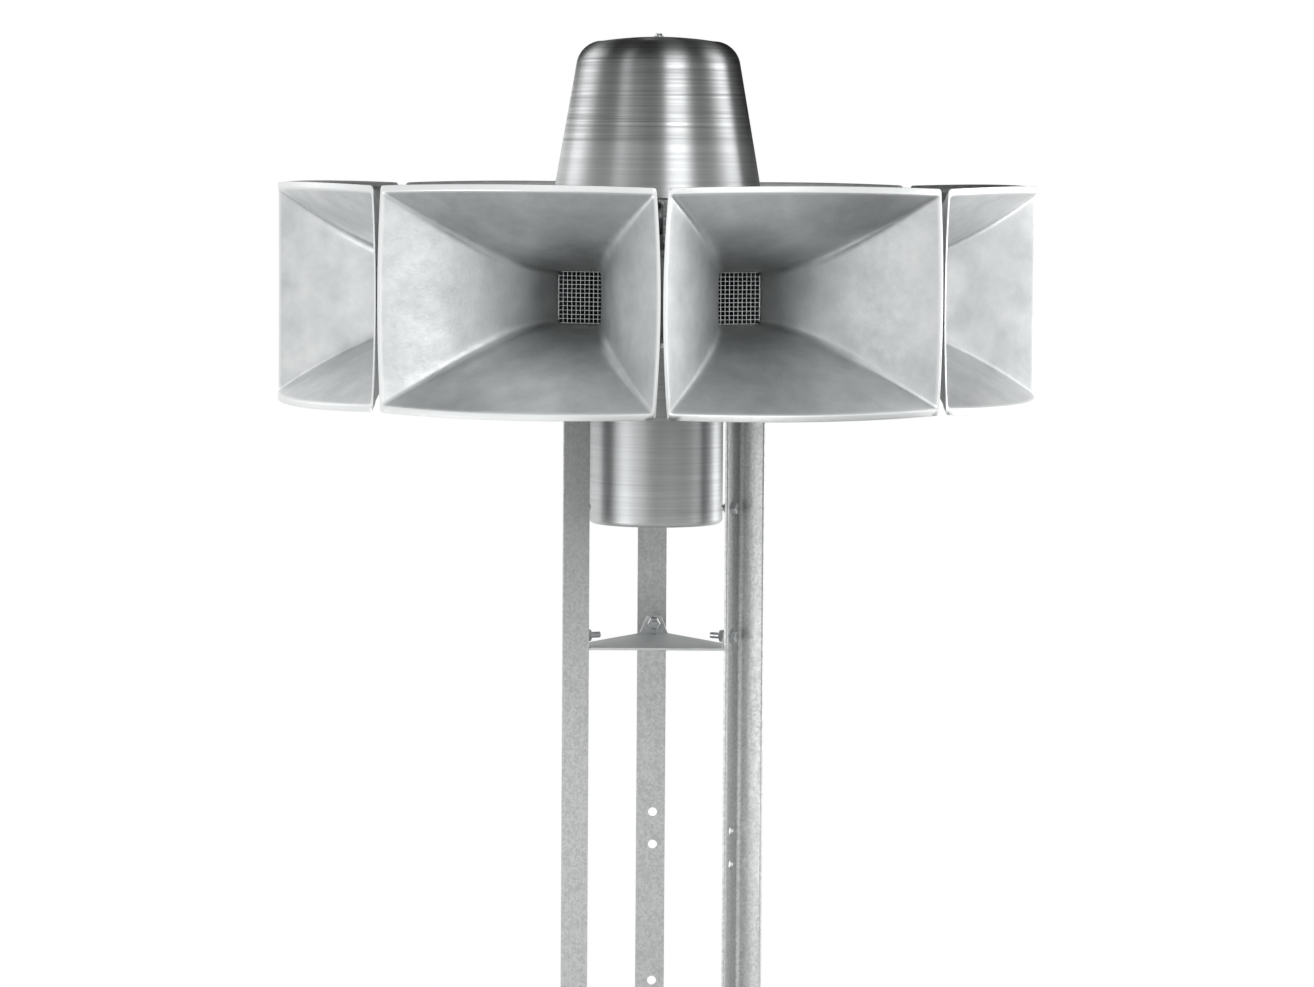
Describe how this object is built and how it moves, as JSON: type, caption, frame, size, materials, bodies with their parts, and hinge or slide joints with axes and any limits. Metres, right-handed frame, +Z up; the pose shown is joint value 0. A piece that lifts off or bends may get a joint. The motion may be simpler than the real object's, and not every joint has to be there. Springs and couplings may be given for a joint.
{
  "type": "civil defence siren tower",
  "caption": "Rotary warning siren: a ring of flared rectangular horns with mesh throats round a spinning chopper, spun rain hood above, motor cover below, on angle legs.",
  "frame": {"origin": "on the ground under the siren's axis, on the underside of the base plate", "axes": "+Z up along the siren's axis, -Y towards the side with the lone gap between two horns and no leg, +X to its right"},
  "size_m": [1.144, 1.144, 2],
  "materials": {
    "cast_aluminium": "satin, as cast",
    "casing_aluminium": "weathered",
    "rotor_casting": "dark, oxidised",
    "spun_aluminium": "spun, fine rings",
    "wire_cloth": "galvanised wire",
    "galvanised_steel": "hot-dip zinc",
    "zinc_plated_steel": "zinc plated"
  },
  "bodies": {
    "tower": {"base_plate": "galvanised_steel", "bottom_plate": "casing_aluminium", "hood_strap": "zinc_plated_steel", "horn_1": "cast_aluminium", "horn_2": "cast_aluminium", "horn_3": "cast_aluminium", "horn_4": "cast_aluminium", "horn_5": "cast_aluminium", "horn_6": "cast_aluminium", "horn_7": "cast_aluminium", "horn_8": "cast_aluminium", "intake_guard": "wire_cloth", "leg_bracket_left": "zinc_plated_steel", "leg_bracket_rear": "zinc_plated_steel", "leg_bracket_right": "zinc_plated_steel", "leg_left": "galvanised_steel", "leg_rear": "galvanised_steel", "leg_right": "galvanised_steel", "leg_spreader": "zinc_plated_steel", "lifting_eye_front": "zinc_plated_steel", "lifting_eye_rear": "zinc_plated_steel", "motor_cover": "spun_aluminium", "rain_hood": "spun_aluminium", "stator_ring": "casing_aluminium", "throat_screen_1": "wire_cloth", "throat_screen_2": "wire_cloth", "throat_screen_3": "wire_cloth", "throat_screen_4": "wire_cloth", "throat_screen_5": "wire_cloth", "throat_screen_6": "wire_cloth", "throat_screen_7": "wire_cloth", "throat_screen_8": "wire_cloth", "top_plate": "casing_aluminium"},
    "rotor": {"chopper_rotor": "rotor_casting"}
  },
  "joints": [
    {"name": "rotor_spin", "type": "hinge", "parent": "tower", "child": "rotor", "pos_m": [0, 0, 1.61], "axis": [0, 0, 1], "continuous": true}
  ]
}
